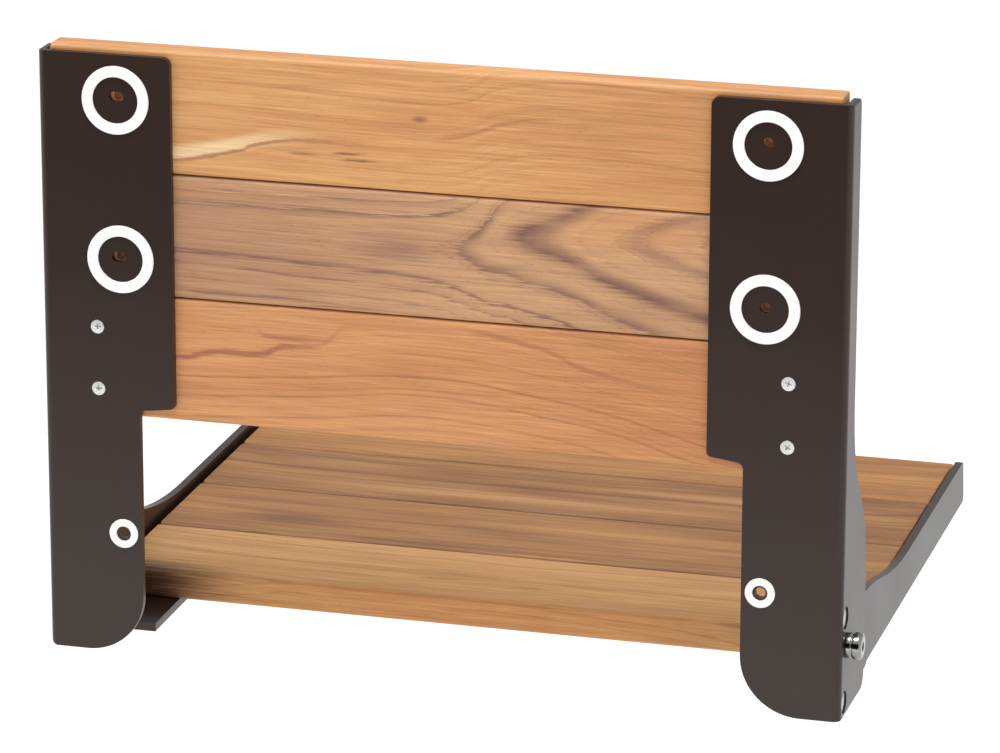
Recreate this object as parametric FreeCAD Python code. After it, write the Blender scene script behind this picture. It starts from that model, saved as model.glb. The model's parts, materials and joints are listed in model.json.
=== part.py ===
import FreeCAD, Part
import math
import os

# Wall-mounted fold-up shower seat with a slatted back.
#
# Frame: the origin is midway between the two lower wall holes, on the brackets' back plane.
# +X is the sitter's left, -Y comes out of the wall into the room, and +Z is up.
#
# The left side is modelled and the right side is its mirror image, so x is a distance from the
# middle. depth is the distance in front of the brackets' back plane, and height is measured
# from the brackets' lower edge.

# ---- driving dimensions, in millimetres ----

SEAT_WIDTH = 488.0             # over the outer faces of the two wall brackets
BRACKET_HEIGHT = 369.3
BRACKET_PLATE = 4.0            # thickness of the bent plate
BEND_RADIUS = 5.0              # outside of the bend
WIDE_BACK = 82.0               # back plate's width beside the back slats
NARROW_BACK = 60.3             # and below them
STEP_HEIGHT = 155.7            # where the back plate narrows
STEP_FALL = 2.7                # how far the step's edge falls towards the narrow part
HEEL_RADIUS = 36.0             # inner lower corner of the back plate
LEFT_FOOT_RADIUS = 5.0         # outer lower corner, which differs between the two brackets
RIGHT_FOOT_RADIUS = 0.8
SLIM_FLANGE = 22.8             # side flange's depth beside the back slats
DEEP_FLANGE = 65.7             # and beside the hinge
FLARE_TOP = 184.0              # heights between which the flange deepens
FLARE_BOTTOM = 70.0

WALL_HOLE_INSET = 48.8         # from the bracket's outer face
WALL_HOLE_HEIGHTS = {"upper": 344.1, "middle": 247.0, "lower": 75.4}
WALL_HOLE_RADIUS = 3.25
WALL_SLOT_LENGTH = 8.9
WALL_SLOT_WIDTH = 6.2
WALL_BORE_RADIUS = 2.75        # through the back slats
COUNTERBORE_RADIUS = 8.0       # for the wall screws' heads, in the slats' front
COUNTERBORE_DEPTH = 4.5

SLAT_THICKNESS = 18.5
SLAT_EDGE = 2.5                # rounding of the slats' long edges
SLAT_END_EDGE = 0.9            # and of the edges round their ends
BACK_JOINTS = (147.6, 223.4, 298.5, 373.1)     # heights of the back slats' edges, from the bottom
BACK_GAP = 0.6
BACK_END = 237.2               # half length of the upper two back slats
BACK_END_BOTTOM = 232.0        # the lowest is shorter, so that the arms fold past its ends
DOWEL_RADIUS = 3.0
DOWEL_LENGTH = 30.0
DOWEL_PLACES = (-150.0, 0.0, 150.0)

BACK_SCREW_INSET = 34.4
BACK_SCREW_HEIGHTS = (164.9, 203.1)

SEAT_SLATS = ("rear", "second", "third", "front")
SEAT_SLAT_WIDTH = 81.2
SEAT_GAP = 2.8
SEAT_REAR = 79.3               # depth of the rear slat's rear edge
SEAT_TOP = 25.0
SEAT_END = 230.3               # half length of the seat slats
REST_SLOPE = 0.75              # degrees that the seat rises towards its front when it is down

ARM_PLATE = 5.0
ARM_GAP = 1.5                  # between the arm and the bracket's flange
ARM_FRONT = 408.0
ARM_FRONT_LEAN = 4.0           # how far the front end leans back at its top
ARM_TOP = 29.3                 # height of the side plate along the slats
ARM_SHOULDER = 47.3            # and where it rises towards the hinge
ARM_RISE_FRONT = 227.0         # depths between which the side plate rises
ARM_RISE_REAR = 73.0
SHELF_THICKNESS = 5.0
SHELF_EDGE = 188.8             # inner edge of the shelf under the slats
SHELF_REAR = 34.0
ARM_HEEL_REAR = 5.9            # rear edge, which rests on the stop pad
ARM_HEEL_BOTTOM = -0.8
ARM_HEEL_TOP = 19.0
STOP_PAD_FRONT = 5.9
HEEL_START = 97.0              # depth where the arm's lower edge steps down to its heel

PIVOT_DEPTH = 15.0
PIVOT_HEIGHT = 43.0
PIVOT_RADIUS = 4.0
HUB_RADIUS = 10.4              # how far the arm's rear top corner stands from the pivot
BUSHING_RADIUS = 5.0
RUNNING_CLEARANCE = 0.04
HINGE_PAD = 1.2
RIVET_DEPTH = 10.8
RIVET_HEIGHTS = (9.0, 61.0)
RIVET_HEAD_RADIUS = 6.8
RIVET_HEAD = 1.2               # thickness
RIVET_SINK = 1.0               # how deep the heads lie below the flange's outer face
RIVET_RADIUS = 2.5
RIVET_SPARE = 0.05             # between a rivet and its hole
RIVET_FLARE = 1.1              # how far a rivet's closed end is spread
RIVET_FLARE_HEIGHT = 0.8

RING_THICKNESS = 1.0
WIDE_RING = (20.5, 14.0)       # outer and inner radius
SMALL_RING = (8.9, 4.6)

# ---- values that follow from them ----

OUTER_FACE = SEAT_WIDTH / 2
FLANGE_INNER = OUTER_FACE - BRACKET_PLATE
ARM_OUTER = FLANGE_INNER - ARM_GAP
ARM_INNER = ARM_OUTER - ARM_PLATE
ORIGIN_HEIGHT = WALL_HOLE_HEIGHTS["lower"]
WALL_HOLE_X = OUTER_FACE - WALL_HOLE_INSET
BACK_SCREW_X = OUTER_FACE - BACK_SCREW_INSET
SLAT_UNDERSIDE = SEAT_TOP - SLAT_THICKNESS
SHELF_BOTTOM = SLAT_UNDERSIDE - SHELF_THICKNESS
BACK_FRONT = BRACKET_PLATE + SLAT_THICKNESS
RIVET_SEAT = OUTER_FACE - RIVET_SINK - RIVET_HEAD
MARGIN = 20.0                  # how far a cutting body runs past what it cuts


# ---- tools for places and outlines ----

def at(x, depth, height):
    """The point at a distance x from the middle, in front of the wall and above the foot."""
    return FreeCAD.Vector(x, -depth, height - ORIGIN_HEIGHT)


def rounded_wire(corners, place):
    """Closed outline with corners (a, b, radius); place turns (a, b) into a point in space."""
    arcs = []
    for index, (a, b, radius) in enumerate(corners):
        corner = FreeCAD.Vector(a, b, 0)
        before = corners[index - 1]
        after = corners[(index + 1) % len(corners)]
        back = (FreeCAD.Vector(before[0], before[1], 0) - corner).normalize()
        ahead = (FreeCAD.Vector(after[0], after[1], 0) - corner).normalize()
        half_angle = back.getAngle(ahead) / 2
        run = radius / math.tan(half_angle)
        middle = corner + (back + ahead).normalize() * (radius / math.sin(half_angle) - radius)
        arcs.append((corner + back * run, middle, corner + ahead * run, radius))
    edges = []
    for index, (start, middle, end, radius) in enumerate(arcs):
        if radius > 0:
            points = [place(point.x, point.y) for point in (start, middle, end)]
            edges.append(Part.Arc(*points).toShape())
        following = arcs[(index + 1) % len(arcs)][0]
        if end.distanceToPoint(following) > 0.01:
            edges.append(Part.makeLine(place(end.x, end.y), place(following.x, following.y)))
    return Part.Wire(edges)


def slab(corners, place, thickness):
    """Flat plate with a rounded outline; thickness is the vector it is extruded along."""
    return Part.Face(rounded_wire(corners, place)).extrude(thickness)


def side_slab(corners, x_from, x_to):
    """Plate seen from the side: corners are (depth, height, radius)."""
    return slab(corners, lambda depth, height: at(x_from, depth, height),
                FreeCAD.Vector(x_to - x_from, 0, 0))


def back_slab(corners, depth_from, depth_to):
    """Plate seen from behind: corners are (x, height, radius)."""
    return slab(corners, lambda x, height: at(x, depth_from, height),
                FreeCAD.Vector(0, depth_from - depth_to, 0))


def flat_slab(corners, height_from, height_to):
    """Plate seen from above: corners are (x, depth, radius)."""
    return slab(corners, lambda x, depth: at(x, depth, height_from),
                FreeCAD.Vector(0, 0, height_to - height_from))


def double_bend(shift, length):
    """Two equal arcs that move a line sideways by shift over length: (radius, corner inset)."""
    half_turn = math.atan(shift / length)
    radius = length / (2 * math.sin(2 * half_turn))
    return radius, radius * math.tan(half_turn)


def oblong(first_from, first_to, second_from, second_to, radius=0.0):
    """Corners of a rectangle with one radius."""
    return [(first_from, second_from, radius), (first_to, second_from, radius),
            (first_to, second_to, radius), (first_from, second_to, radius)]


def turned_along_x(profile, depth, height):
    """Turned piece on an axis along X: profile is (x, radius) points, closed on the axis."""
    points = [at(x, depth, height + radius) for x, radius in profile]
    face = Part.Face(Part.makePolygon(points + [points[0]]))
    return face.revolve(at(0, depth, height), FreeCAD.Vector(1, 0, 0), 360)


def tube_along_x(x_from, x_to, outer, inner, depth, height):
    profile = [(x_from, inner), (x_from, outer), (x_to, outer), (x_to, inner)]
    return turned_along_x(profile, depth, height)


def rod_along_x(x_from, x_to, radius, depth, height):
    return Part.makeCylinder(radius, x_to - x_from, at(x_from, depth, height),
                             FreeCAD.Vector(1, 0, 0))


def rod_along_y(depth_from, depth_to, radius, x, height):
    return Part.makeCylinder(radius, depth_to - depth_from, at(x, depth_from, height),
                             FreeCAD.Vector(0, -1, 0))


def rod_along_z(height_from, height_to, radius, x, depth):
    return Part.makeCylinder(radius, height_to - height_from, at(x, depth, height_from),
                             FreeCAD.Vector(0, 0, 1))


def mirrored(shape):
    """The same piece on the sitter's right."""
    return shape.mirror(FreeCAD.Vector(0, 0, 0), FreeCAD.Vector(1, 0, 0))


def save(node, *solids):
    """Write one node, made of one or more separate solids."""
    shape = solids[0] if len(solids) == 1 else Part.makeCompound(list(solids))
    for solid in shape.Solids:
        assert solid.isValid() and solid.Volume > 0, node
    shape.exportStep("parts/" + node + ".step")


def save_pair(name, *solids):
    """Write the left node and its mirror image on the right."""
    save("left_" + name, *solids)
    save("right_" + name, *[mirrored(solid) for solid in solids])


# ---- wall brackets ----

def bracket_blank(foot_radius):
    """Bent plate: the section across the bend, cut to its outline from behind and from the side."""
    wide_edge = OUTER_FACE - WIDE_BACK
    narrow_edge = OUTER_FACE - NARROW_BACK
    inside_bend = BEND_RADIUS - BRACKET_PLATE
    section = [(wide_edge, 0, 0), (OUTER_FACE, 0, BEND_RADIUS), (OUTER_FACE, DEEP_FLANGE, 0),
               (FLANGE_INNER, DEEP_FLANGE, 0), (FLANGE_INNER, BRACKET_PLATE, inside_bend),
               (wide_edge, BRACKET_PLATE, 0)]
    bent = flat_slab(section, 0, BRACKET_HEIGHT)
    from_behind = [(OUTER_FACE, 0, foot_radius), (OUTER_FACE, BRACKET_HEIGHT, 1.5),
                   (wide_edge, BRACKET_HEIGHT, 5), (wide_edge, STEP_HEIGHT, 3),
                   (narrow_edge, STEP_HEIGHT - STEP_FALL, 4), (narrow_edge, 0, HEEL_RADIUS)]
    flare, run = double_bend(DEEP_FLANGE - SLIM_FLANGE, FLARE_TOP - FLARE_BOTTOM)
    from_side = [(0, 0, 0), (DEEP_FLANGE, 0, 10), (DEEP_FLANGE, FLARE_BOTTOM + run, flare),
                 (SLIM_FLANGE, FLARE_TOP - run, flare), (SLIM_FLANGE, BRACKET_HEIGHT, 5),
                 (0, BRACKET_HEIGHT, 0)]
    blank = bent.common(back_slab(from_behind, -MARGIN, DEEP_FLANGE + MARGIN))
    return blank.common(side_slab(from_side, 0, OUTER_FACE + MARGIN)).Solids[0]


def wall_opening(slotted, height):
    """Cutter for one wall hole: a round hole, or a slot that lies across."""
    if not slotted:
        return rod_along_y(-MARGIN, MARGIN, WALL_HOLE_RADIUS, WALL_HOLE_X, height)
    half = WALL_SLOT_LENGTH / 2
    rise = WALL_SLOT_WIDTH / 2
    corners = oblong(WALL_HOLE_X - half, WALL_HOLE_X + half, height - rise, height + rise,
                     rise - 0.01)
    return back_slab(corners, -MARGIN, MARGIN)


def wall_bracket(slotted, foot_radius):
    """Bracket with its wall holes, screw countersinks, pivot hole and sunk rivet holes."""
    bracket = bracket_blank(foot_radius)
    for place, height in WALL_HOLE_HEIGHTS.items():
        bracket = bracket.cut(wall_opening(slotted and place != "lower", height))
    for height in BACK_SCREW_HEIGHTS:
        bracket = bracket.cut(countersink(height))
    bracket = bracket.cut(rod_along_x(FLANGE_INNER - 1, OUTER_FACE + 1,
                                      PIVOT_RADIUS + RUNNING_CLEARANCE, PIVOT_DEPTH, PIVOT_HEIGHT))
    for height in RIVET_HEIGHTS:
        bracket = bracket.cut(rod_along_x(FLANGE_INNER - 1, OUTER_FACE + 1,
                                          RIVET_RADIUS + RIVET_SPARE, RIVET_DEPTH, height))
        bracket = bracket.cut(rod_along_x(RIVET_SEAT, OUTER_FACE + 1,
                                          RIVET_HEAD_RADIUS + RIVET_SPARE, RIVET_DEPTH, height))
    return bracket.Solids[0]


# ---- back slats, with their dowels and screws ----

BACK_SLATS = ("bottom", "middle", "top")


def slat_blank(half_length, section):
    """Slat along X from its section's corners (depth, height, radius), with its ends eased."""
    slat = side_slab(section, -half_length, half_length)
    end_edges = [edge for edge in slat.Edges if edge.BoundBox.XLength < 0.001]
    return slat.makeFillet(SLAT_END_EDGE, end_edges)


def back_slat(index):
    """One horizontal slat of the back, bored for the wall screws, dowels and bracket screws."""
    end = BACK_END_BOTTOM if index == 0 else BACK_END
    low = BACK_JOINTS[index] + BACK_GAP / 2
    high = BACK_JOINTS[index + 1] - BACK_GAP / 2
    slat = slat_blank(end, oblong(BRACKET_PLATE, BACK_FRONT, low, high, SLAT_EDGE))
    for sign in (-1, 1):
        for height in WALL_HOLE_HEIGHTS.values():
            if low < height < high:
                slat = slat.cut(rod_along_y(0, BACK_FRONT + MARGIN, WALL_BORE_RADIUS,
                                            sign * WALL_HOLE_X, height))
                slat = slat.cut(rod_along_y(BACK_FRONT - COUNTERBORE_DEPTH, BACK_FRONT + MARGIN,
                                            COUNTERBORE_RADIUS, sign * WALL_HOLE_X, height))
        for height in BACK_SCREW_HEIGHTS:
            if low < height < high:
                slat = slat.cut(rod_along_y(0, BACK_SCREW_END, BACK_SCREW_RADIUS,
                                            sign * BACK_SCREW_X, height))
    for joint in (1, 2):
        for x in DOWEL_PLACES:
            slat = slat.cut(dowel(joint, x))
    return slat.Solids[0]


def dowel(joint, x):
    """Dowel across the joint below back slat number joint."""
    return rod_along_z(BACK_JOINTS[joint] - DOWEL_LENGTH / 2,
                       BACK_JOINTS[joint] + DOWEL_LENGTH / 2, DOWEL_RADIUS,
                       x, BRACKET_PLATE + SLAT_THICKNESS / 2)


BACK_SCREW_RADIUS = 2.0
BACK_SCREW_HEAD = 4.15
BACK_SCREW_END = 17.0
HEAD_CONE = 2.2
RECESS_WIDTH = 0.95
RECESS_LENGTH = 4.6
RECESS_DEPTH = 1.5


def countersink(height):
    """Cutter for a countersunk screw hole through the back plate."""
    cone = Part.makeCone(BACK_SCREW_HEAD + 0.1, BACK_SCREW_RADIUS + 0.1, HEAD_CONE,
                         at(BACK_SCREW_X, 0, height), FreeCAD.Vector(0, -1, 0))
    return cone.fuse(rod_along_y(-1, BRACKET_PLATE + 1, BACK_SCREW_RADIUS + 0.1,
                                 BACK_SCREW_X, height))


def cross_recess(x, height):
    """Cutter for a cross-shaped driver recess in a screw head that faces the wall."""
    long_half = RECESS_LENGTH / 2
    short_half = RECESS_WIDTH / 2
    across = back_slab(oblong(x - long_half, x + long_half, height - short_half,
                              height + short_half), -1, RECESS_DEPTH)
    upright = back_slab(oblong(x - short_half, x + short_half, height - long_half,
                               height + long_half), -1, RECESS_DEPTH)
    return across.fuse(upright)


def back_screw(height):
    """Countersunk cross-recess screw, driven from behind."""
    head = Part.makeCone(BACK_SCREW_HEAD, BACK_SCREW_RADIUS, HEAD_CONE,
                         at(BACK_SCREW_X, 0, height), FreeCAD.Vector(0, -1, 0))
    shank = rod_along_y(HEAD_CONE - 0.5, BACK_SCREW_END, BACK_SCREW_RADIUS, BACK_SCREW_X, height)
    return head.fuse(shank).cut(cross_recess(BACK_SCREW_X, height)).Solids[0]


# ---- seal rings on the back plates ----

def seal_ring(x, height, radii):
    """Flat ring stuck to the back plate, between it and the wall."""
    outer, inner = radii
    ring = rod_along_y(-RING_THICKNESS, 0, outer, x, height)
    return ring.cut(rod_along_y(-RING_THICKNESS - 1, 1, inner, x, height)).Solids[0]


# ---- seat arms ----

def at_rest(shape):
    """A piece of the seat, turned about the hinge to the slope that the seat rests at."""
    return shape.rotated(at(0, PIVOT_DEPTH, PIVOT_HEIGHT), FreeCAD.Vector(-1, 0, 0), REST_SLOPE)


def seat_arm():
    """L-shaped plate: a side plate that rises towards the hinge, and a shelf for the slats."""
    hub_rear = PIVOT_DEPTH - HUB_RADIUS
    hub_top = PIVOT_HEIGHT + HUB_RADIUS
    rise, run = double_bend(ARM_SHOULDER - ARM_TOP, ARM_RISE_FRONT - ARM_RISE_REAR)
    from_side = [(ARM_FRONT, SHELF_BOTTOM, 4), (ARM_FRONT - ARM_FRONT_LEAN, ARM_TOP, 2),
                 (ARM_RISE_FRONT - run, ARM_TOP, rise), (ARM_RISE_REAR + run, ARM_SHOULDER, rise),
                 (PIVOT_DEPTH, hub_top, 0), (hub_rear, hub_top, HUB_RADIUS - 0.02),
                 (hub_rear, ARM_HEEL_TOP + 5, 2), (ARM_HEEL_REAR, ARM_HEEL_TOP, 2),
                 (ARM_HEEL_REAR, ARM_HEEL_BOTTOM, 4), (HEEL_START, ARM_HEEL_BOTTOM, 2),
                 (HEEL_START + 5, SHELF_BOTTOM, 2)]
    side = side_slab(from_side, ARM_INNER, ARM_OUTER)
    shelf = flat_slab([(ARM_OUTER, SHELF_REAR, 0), (SHELF_EDGE, SHELF_REAR, 1),
                       (SHELF_EDGE, ARM_FRONT, 4), (ARM_OUTER, ARM_FRONT, 0)],
                      SHELF_BOTTOM, SLAT_UNDERSIDE)
    shelf = shelf.common(side_slab([(0, 0, 0), (ARM_FRONT, 0, 0), (ARM_FRONT, ARM_TOP, 0),
                                    (0, ARM_TOP, 0)], 0, ARM_INNER + 1))
    arm = side.fuse(shelf).removeSplitter()
    arm = arm.cut(rod_along_x(ARM_INNER - 1, ARM_OUTER + 1, BUSHING_RADIUS,
                              PIVOT_DEPTH, PIVOT_HEIGHT))
    for depth in seat_screw_depths():
        arm = arm.cut(rod_along_z(0, SLAT_UNDERSIDE + 1, SEAT_SCREW_RADIUS + 0.2,
                                  SEAT_SCREW_X, depth))
    return at_rest(arm.Solids[0])


# ---- seat slats and their screws ----

SEAT_SCREW_X = 209.5
SEAT_SCREW_SPREAD = 24.0       # from a slat's middle to each of its screws
SEAT_SCREW_RADIUS = 2.0
SEAT_SCREW_HEAD = 4.0
SEAT_SCREW_HEAD_HEIGHT = 2.4
SEAT_SCREW_END = 21.0


def seat_slat_rear(index):
    """Depth of a seat slat's rear edge."""
    return SEAT_REAR + index * (SEAT_SLAT_WIDTH + SEAT_GAP)


def seat_screw_depths():
    """Depths of one arm's screws: two for each slat."""
    depths = []
    for index in range(len(SEAT_SLATS)):
        middle = seat_slat_rear(index) + SEAT_SLAT_WIDTH / 2
        depths += [middle - SEAT_SCREW_SPREAD, middle + SEAT_SCREW_SPREAD]
    return depths


def seat_slat(index):
    """One slat of the seat, with blind pilot holes in its underside."""
    rear = seat_slat_rear(index)
    slat = slat_blank(SEAT_END, oblong(rear, rear + SEAT_SLAT_WIDTH, SLAT_UNDERSIDE, SEAT_TOP,
                                       SLAT_EDGE))
    for depth in seat_screw_depths():
        if rear < depth < rear + SEAT_SLAT_WIDTH:
            for sign in (-1, 1):
                slat = slat.cut(rod_along_z(0, SEAT_SCREW_END, SEAT_SCREW_RADIUS,
                                            sign * SEAT_SCREW_X, depth))
    return at_rest(slat.Solids[0])


def seat_screw(depth):
    """Pan-head screw, driven up through the shelf."""
    head = rod_along_z(SHELF_BOTTOM - SEAT_SCREW_HEAD_HEIGHT, SHELF_BOTTOM, SEAT_SCREW_HEAD,
                       SEAT_SCREW_X, depth)
    rim = [edge for edge in head.Edges
           if edge.BoundBox.ZLength < 0.001
           and abs(edge.BoundBox.ZMin - head.BoundBox.ZMin) < 0.001]
    head = head.makeFillet(1.2, rim)
    shank = rod_along_z(SHELF_BOTTOM - 0.5, SEAT_SCREW_END, SEAT_SCREW_RADIUS,
                        SEAT_SCREW_X, depth)
    return at_rest(head.fuse(shank).Solids[0])


# ---- hinge hardware, from the outside in ----

WASHER_RADIUS = 8.0
WASHER_THICKNESS = 1.6
BUSHING_FLANGE = 1.0
SPRING_THICKNESS = 0.8
SPRING_HEIGHT = 1.2
NUT_HALF_FLATS = 6.5
NUT_HEIGHT = 8.0
BOLT_PAST_NUT = 2.0

FLANGE_OF_BUSHING = ARM_INNER - BUSHING_FLANGE
WASHER_OUTER = FLANGE_OF_BUSHING - 0.3
WASHER_INNER = WASHER_OUTER - WASHER_THICKNESS
NUT_OUTER = WASHER_INNER - 2 * SPRING_HEIGHT
NUT_INNER = NUT_OUTER - NUT_HEIGHT


# Bolt heads, from the flange's outer face to the crown: (distance out, radius).
STEPPED_HEAD = ((0, 7.2), (0.4, 7.6), (3.4, 7.6), (3.6, 7.2), (4.2, 7.2), (4.5, 8.0), (8.2, 8.0),
                (9.2, 7.3), (9.8, 6.2))
LOW_HEAD = ((0, 8.0), (0.4, 8.0), (1.6, 6.6))
BOLT_CHAMFER = 0.6
SOCKET_DEPTH = 3.8
SOCKET_HALF_FLATS = 2.5


def pivot_bolt(head):
    """Bolt with a round head outside the flange and a hexagon socket in its crown."""
    tip = NUT_INNER - BOLT_PAST_NUT
    crown = OUTER_FACE + head[-1][0]
    profile = [(tip, 0), (tip, PIVOT_RADIUS - BOLT_CHAMFER), (tip + BOLT_CHAMFER, PIVOT_RADIUS),
               (OUTER_FACE, PIVOT_RADIUS)]
    profile += [(OUTER_FACE + out, radius) for out, radius in head]
    bolt = turned_along_x(profile + [(crown, 0)], PIVOT_DEPTH, PIVOT_HEIGHT)
    return bolt.cut(hexagon_along_x(crown - SOCKET_DEPTH, crown + 1, SOCKET_HALF_FLATS))


def hexagon_along_x(x_from, x_to, half_flats):
    """Hexagonal bar on the pivot axis."""
    reach = half_flats / math.cos(math.pi / 6)
    points = [at(x_from, PIVOT_DEPTH + reach * math.cos(turn * math.pi / 3),
                 PIVOT_HEIGHT + reach * math.sin(turn * math.pi / 3)) for turn in range(6)]
    face = Part.Face(Part.makePolygon(points + [points[0]]))
    return face.extrude(FreeCAD.Vector(x_to - x_from, 0, 0))


def pivot_bushing():
    """Flanged plain bushing pressed in the arm."""
    bore = PIVOT_RADIUS + RUNNING_CLEARANCE
    profile = [(FLANGE_OF_BUSHING, bore), (FLANGE_OF_BUSHING, WASHER_RADIUS - 0.5),
               (ARM_INNER, WASHER_RADIUS - 0.5), (ARM_INNER, BUSHING_RADIUS),
               (ARM_OUTER, BUSHING_RADIUS), (ARM_OUTER, bore)]
    return turned_along_x(profile, PIVOT_DEPTH, PIVOT_HEIGHT)


def hinge_washer():
    """Flat washer between the disc springs and the bushing."""
    return tube_along_x(WASHER_INNER, WASHER_OUTER, WASHER_RADIUS, PIVOT_RADIUS + 0.2,
                        PIVOT_DEPTH, PIVOT_HEIGHT)


def disc_springs():
    """Two conical springs, rim to rim."""
    inner = PIVOT_RADIUS + 0.1
    outer = WASHER_RADIUS
    rise = SPRING_HEIGHT - SPRING_THICKNESS
    springs = []
    for start, facing in ((NUT_OUTER, 1), (WASHER_INNER, -1)):
        profile = [(start, inner), (start + facing * rise, outer),
                   (start + facing * SPRING_HEIGHT, outer),
                   (start + facing * SPRING_THICKNESS, inner)]
        springs.append(turned_along_x(profile, PIVOT_DEPTH, PIVOT_HEIGHT))
    return springs


def lock_nut():
    """Hexagon nut with a round collar that holds its nylon ring."""
    collar = 2.5
    nut = hexagon_along_x(NUT_INNER + collar, NUT_OUTER, NUT_HALF_FLATS)
    nut = nut.fuse(rod_along_x(NUT_INNER, NUT_INNER + collar, NUT_HALF_FLATS - 0.3,
                               PIVOT_DEPTH, PIVOT_HEIGHT))
    return nut.cut(rod_along_x(NUT_INNER - 1, NUT_OUTER + 1, PIVOT_RADIUS,
                               PIVOT_DEPTH, PIVOT_HEIGHT)).Solids[0]


def rivet_flare(height, spare):
    """Cone of a rivet's closed end, sunk in the hinge pad; spare widens it to make its seat."""
    return Part.makeCone(RIVET_RADIUS + RIVET_FLARE + spare, RIVET_RADIUS + spare,
                         RIVET_FLARE_HEIGHT, at(FLANGE_INNER - HINGE_PAD, RIVET_DEPTH, height),
                         FreeCAD.Vector(1, 0, 0))


def hinge_pad():
    """Thin sheet that the arm slides on, against the flange's inner face."""
    inner = FLANGE_INNER - HINGE_PAD
    pad = side_slab(oblong(5.4, 27, 1.5, 70, 3), inner, FLANGE_INNER)
    pad = pad.cut(rod_along_x(inner - 1, FLANGE_INNER + 1, PIVOT_RADIUS + 0.3,
                              PIVOT_DEPTH, PIVOT_HEIGHT))
    for height in RIVET_HEIGHTS:
        pad = pad.cut(rod_along_x(inner - 1, FLANGE_INNER + 1, RIVET_RADIUS + RIVET_SPARE,
                                  RIVET_DEPTH, height))
        pad = pad.cut(rivet_flare(height, RIVET_SPARE))
    return pad.Solids[0]


def pad_rivet(height):
    """Flat-headed rivet that holds the hinge pad; its head lies sunk in the bracket's flange."""
    shank_end = FLANGE_INNER - HINGE_PAD / 2
    profile = [(shank_end, 0), (shank_end, RIVET_RADIUS), (RIVET_SEAT, RIVET_RADIUS),
               (RIVET_SEAT, RIVET_HEAD_RADIUS), (RIVET_SEAT + RIVET_HEAD, RIVET_HEAD_RADIUS),
               (RIVET_SEAT + RIVET_HEAD, 0)]
    shank = turned_along_x(profile, RIVET_DEPTH, height)
    return shank.fuse(rivet_flare(height, 0)).Solids[0]


def stop_pad():
    """Pad on the back plate that the arm's heel rests on."""
    return back_slab(oblong(ARM_INNER - 1.5, FLANGE_INNER - HINGE_PAD - 0.2, 1.5, 17, 1.5),
                     BRACKET_PLATE, STOP_PAD_FRONT)


# ---- the assembly ----

os.makedirs("parts", exist_ok=True)

save("left_wall_bracket", wall_bracket(slotted=True, foot_radius=LEFT_FOOT_RADIUS))
save("right_wall_bracket", mirrored(wall_bracket(slotted=False, foot_radius=RIGHT_FOOT_RADIUS)))

for number, name in enumerate(BACK_SLATS):
    save("back_slat_" + name, back_slat(number))
save("lower_back_dowels", *[dowel(1, x) for x in DOWEL_PLACES])
save("upper_back_dowels", *[dowel(2, x) for x in DOWEL_PLACES])
save_pair("back_slat_screws", *[back_screw(height) for height in BACK_SCREW_HEIGHTS])

# The wide rings are stuck on by hand, so each sits a little off its hole: (x, height).
save("left_upper_seal_ring", seal_ring(195.6, 342.2, WIDE_RING))
save("left_middle_seal_ring", seal_ring(194.1, 245.9, WIDE_RING))
save("right_upper_seal_ring", seal_ring(-195.5, 342.7, WIDE_RING))
save("right_middle_seal_ring", seal_ring(-195.3, 246.5, WIDE_RING))
save_pair("lower_seal_ring", seal_ring(WALL_HOLE_X, WALL_HOLE_HEIGHTS["lower"], SMALL_RING))

save_pair("seat_arm", seat_arm())
for number, name in enumerate(SEAT_SLATS):
    save(name + "_seat_slat", seat_slat(number))
save_pair("seat_slat_screws", *[seat_screw(depth) for depth in seat_screw_depths()])

save("left_pivot_bolt", pivot_bolt(LOW_HEAD))
save("right_pivot_bolt", mirrored(pivot_bolt(STEPPED_HEAD)))
save_pair("pivot_bushing", pivot_bushing())
save_pair("hinge_washer", hinge_washer())
save_pair("disc_springs", *disc_springs())
save_pair("lock_nut", lock_nut())
save_pair("hinge_pad", hinge_pad())
save_pair("pad_rivets", *[pad_rivet(height) for height in RIVET_HEIGHTS])
save_pair("stop_pad", stop_pad())
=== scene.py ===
import json
import math

import bmesh
import bpy
from mathutils import Matrix, Vector


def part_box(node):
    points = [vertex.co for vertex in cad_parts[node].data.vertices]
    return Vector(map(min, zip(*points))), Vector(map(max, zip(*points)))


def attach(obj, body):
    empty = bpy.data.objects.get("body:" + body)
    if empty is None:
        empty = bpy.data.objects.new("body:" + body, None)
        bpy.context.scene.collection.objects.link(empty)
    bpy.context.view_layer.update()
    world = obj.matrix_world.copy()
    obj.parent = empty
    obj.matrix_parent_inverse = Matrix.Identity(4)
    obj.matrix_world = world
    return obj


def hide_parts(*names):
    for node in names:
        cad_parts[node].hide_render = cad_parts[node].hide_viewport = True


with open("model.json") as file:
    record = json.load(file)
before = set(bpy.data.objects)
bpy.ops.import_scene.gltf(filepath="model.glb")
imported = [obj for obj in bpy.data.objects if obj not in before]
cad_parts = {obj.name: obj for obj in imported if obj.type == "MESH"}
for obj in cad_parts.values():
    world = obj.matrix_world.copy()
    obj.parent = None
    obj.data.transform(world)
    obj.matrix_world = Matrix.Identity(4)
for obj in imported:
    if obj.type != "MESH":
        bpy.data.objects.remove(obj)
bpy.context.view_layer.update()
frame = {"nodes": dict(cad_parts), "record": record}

MM = 0.001
TO_MM = 1000
WHITE = (1, 1, 1, 1)
BLACK = (0, 0, 0, 1)

# ---- where the camera stands, in the row's frame ----

CAMERA_PLACE = Vector((-0.8271, 2.8213, 1.0065))
CAMERA_LOOK = Vector((0.25768, -0.92159, -0.29029))
CAMERA_ROLL = 0.0028           # radians
CAMERA_REACH = 100.0           # metres
LENS = 189.67                  # millimetres
SENSOR = 36.0                  # millimetres


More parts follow.
